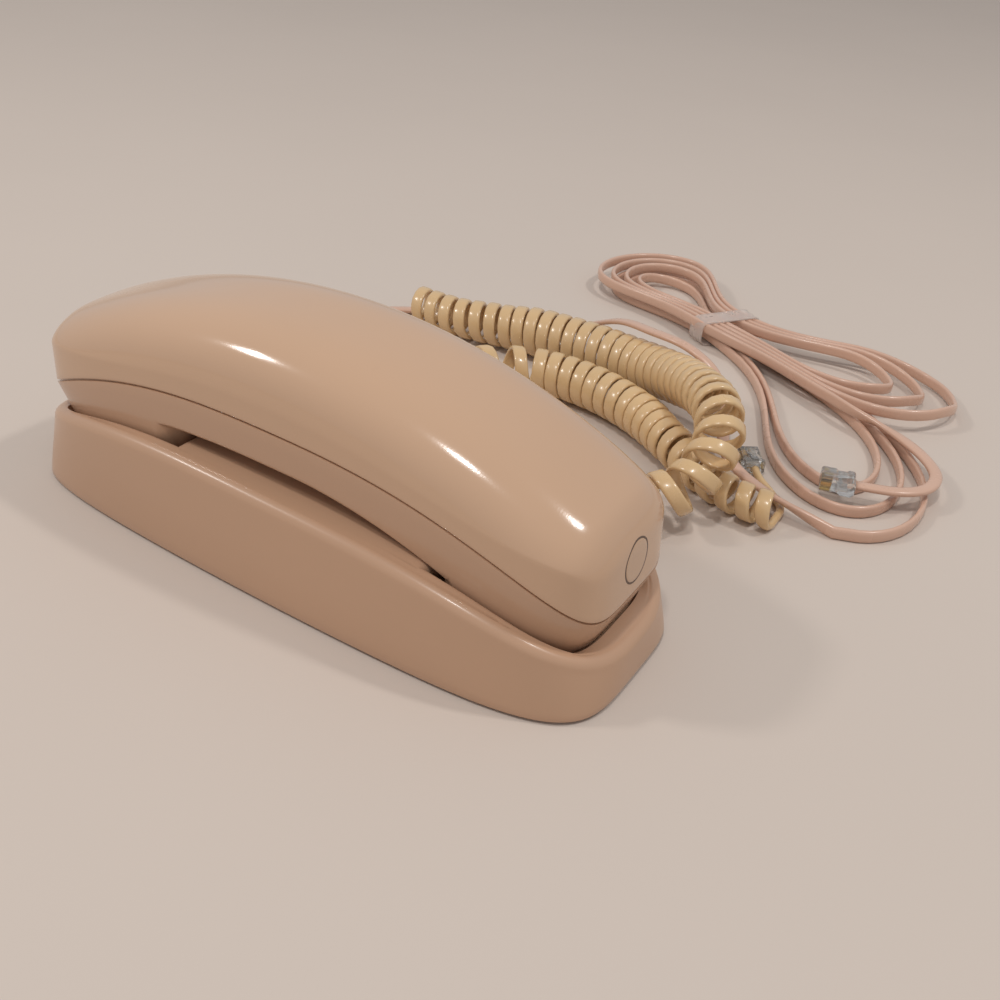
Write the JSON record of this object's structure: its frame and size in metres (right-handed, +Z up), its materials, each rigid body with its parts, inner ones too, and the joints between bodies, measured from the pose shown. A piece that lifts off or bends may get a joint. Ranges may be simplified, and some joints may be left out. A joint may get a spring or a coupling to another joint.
{
  "type": "slimline wall telephone",
  "caption": "Slimline push-button telephone: an arched handset on a low boat-shaped base, with a curly handset cord and a tied hank of flat line cord lying behind it.",
  "frame": {"origin": "centre of the base on the surface it stands on", "axes": "+X towards the earpiece end, +Z up, +Y to the side where the cords lie"},
  "size_m": [0.2925, 0.3415, 0.081],
  "materials": {
    "beige": "gloss",
    "plate": "satin",
    "dark_plastic": "satin",
    "dark_rubber": "matte",
    "board": "satin",
    "steel": "satin",
    "can": "satin",
    "brass": "gloss",
    "winding": "satin",
    "card": "matte",
    "clear": "gloss",
    "cream_cord": "gloss",
    "pink_cord": "gloss",
    "tie": "gloss"
  },
  "bodies": {
    "base": {"base_housing": "beige", "base_plate": "plate", "plate_screws": "steel", "rubber_feet": "dark_rubber", "network_board": "board", "line_jack": "dark_plastic", "cord_jack": "dark_plastic", "hook_spring": "steel", "hook_switch": "dark_plastic", "gong": "brass", "gong_screw": "steel", "ringer_frame": "steel", "ringer_coil": "winding", "clapper_pin": "steel", "curly_plug_base": "clear", "curly_lead": "cream_cord", "curly_cord": "cream_cord", "curly_tail": "cream_cord", "curly_plug_free": "clear", "line_plug_base": "clear", "line_lead": "pink_cord", "line_hank": "pink_cord", "line_tail": "pink_cord", "line_plug_free": "clear", "hank_tie": "tie"},
    "handset": {"handset_back_cover": "beige", "badge_disc": "beige", "handset_front_housing": "beige", "number_card": "card", "card_window": "clear", "dome_mat": "dark_rubber", "keypad_board": "board", "board_screws": "steel", "receiver_capsule": "dark_plastic", "receiver_ring": "dark_rubber", "microphone": "can", "microphone_boot": "dark_rubber", "handset_jack": "dark_plastic", "handset_screws": "steel"},
    "key_1": {"key_1": "beige"},
    "key_2": {"key_2": "beige"},
    "key_3": {"key_3": "beige"},
    "key_4": {"key_4": "beige"},
    "key_5": {"key_5": "beige"},
    "key_6": {"key_6": "beige"},
    "key_7": {"key_7": "beige"},
    "key_8": {"key_8": "beige"},
    "key_9": {"key_9": "beige"},
    "key_star": {"key_star": "beige"},
    "key_0": {"key_0": "beige"},
    "key_hash": {"key_hash": "beige"},
    "recall_key": {"recall_key": "beige"},
    "hook_plunger": {"hook_plunger": "beige"},
    "clapper": {"clapper": "brass"},
    "volume_slider": {"volume_slider": "beige"}
  },
  "joints": [
    {"name": "handset_lift", "type": "slide", "parent": "base", "child": "handset", "axis": [0, 0, 1], "range_m": [0, 0.06]},
    {"name": "hook_rise", "type": "slide", "parent": "base", "child": "hook_plunger", "axis": [0, 0, 1], "range_m": [0, 0.003], "deforming": ["hook_spring"]},
    {"name": "key_1_press", "type": "slide", "parent": "handset", "child": "key_1", "axis": [0, 0, 1], "range_m": [0, 0.0015], "stiffness_N_per_m": 300, "springref_m": -0.001},
    {"name": "key_2_press", "type": "slide", "parent": "handset", "child": "key_2", "axis": [0, 0, 1], "range_m": [0, 0.0015], "stiffness_N_per_m": 300, "springref_m": -0.001},
    {"name": "key_3_press", "type": "slide", "parent": "handset", "child": "key_3", "axis": [0, 0, 1], "range_m": [0, 0.0015], "stiffness_N_per_m": 300, "springref_m": -0.001},
    {"name": "key_4_press", "type": "slide", "parent": "handset", "child": "key_4", "axis": [0, 0, 1], "range_m": [0, 0.0015], "stiffness_N_per_m": 300, "springref_m": -0.001},
    {"name": "key_5_press", "type": "slide", "parent": "handset", "child": "key_5", "axis": [0, 0, 1], "range_m": [0, 0.0015], "stiffness_N_per_m": 300, "springref_m": -0.001},
    {"name": "key_6_press", "type": "slide", "parent": "handset", "child": "key_6", "axis": [0, 0, 1], "range_m": [0, 0.0015], "stiffness_N_per_m": 300, "springref_m": -0.001},
    {"name": "key_7_press", "type": "slide", "parent": "handset", "child": "key_7", "axis": [0, 0, 1], "range_m": [0, 0.0015], "stiffness_N_per_m": 300, "springref_m": -0.001},
    {"name": "key_8_press", "type": "slide", "parent": "handset", "child": "key_8", "axis": [0, 0, 1], "range_m": [0, 0.0015], "stiffness_N_per_m": 300, "springref_m": -0.001},
    {"name": "key_9_press", "type": "slide", "parent": "handset", "child": "key_9", "axis": [0, 0, 1], "range_m": [0, 0.0015], "stiffness_N_per_m": 300, "springref_m": -0.001},
    {"name": "key_star_press", "type": "slide", "parent": "handset", "child": "key_star", "axis": [0, 0, 1], "range_m": [0, 0.0015], "stiffness_N_per_m": 300, "springref_m": -0.001},
    {"name": "key_0_press", "type": "slide", "parent": "handset", "child": "key_0", "axis": [0, 0, 1], "range_m": [0, 0.0015], "stiffness_N_per_m": 300, "springref_m": -0.001},
    {"name": "key_hash_press", "type": "slide", "parent": "handset", "child": "key_hash", "axis": [0, 0, 1], "range_m": [0, 0.0015], "stiffness_N_per_m": 300, "springref_m": -0.001},
    {"name": "recall_key_press", "type": "slide", "parent": "handset", "child": "recall_key", "axis": [0, 0, 1], "range_m": [0, 0.0015], "stiffness_N_per_m": 300, "springref_m": -0.001},
    {"name": "clapper_swing", "type": "hinge", "parent": "base", "child": "clapper", "pos_m": [0.0045, -0.02, 0.017], "axis": [0, 0, 1], "range_deg": [-2, 6], "stiffness_Nm_per_rad": 0.01},
    {"name": "volume_slide", "type": "slide", "parent": "base", "child": "volume_slider", "axis": [1, 0, 0], "range_m": [-0.004, 0.004]}
  ],
  "couplings": [
    {"joint": "hook_rise", "follows": "handset_lift", "ratio": 0.05}
  ]
}
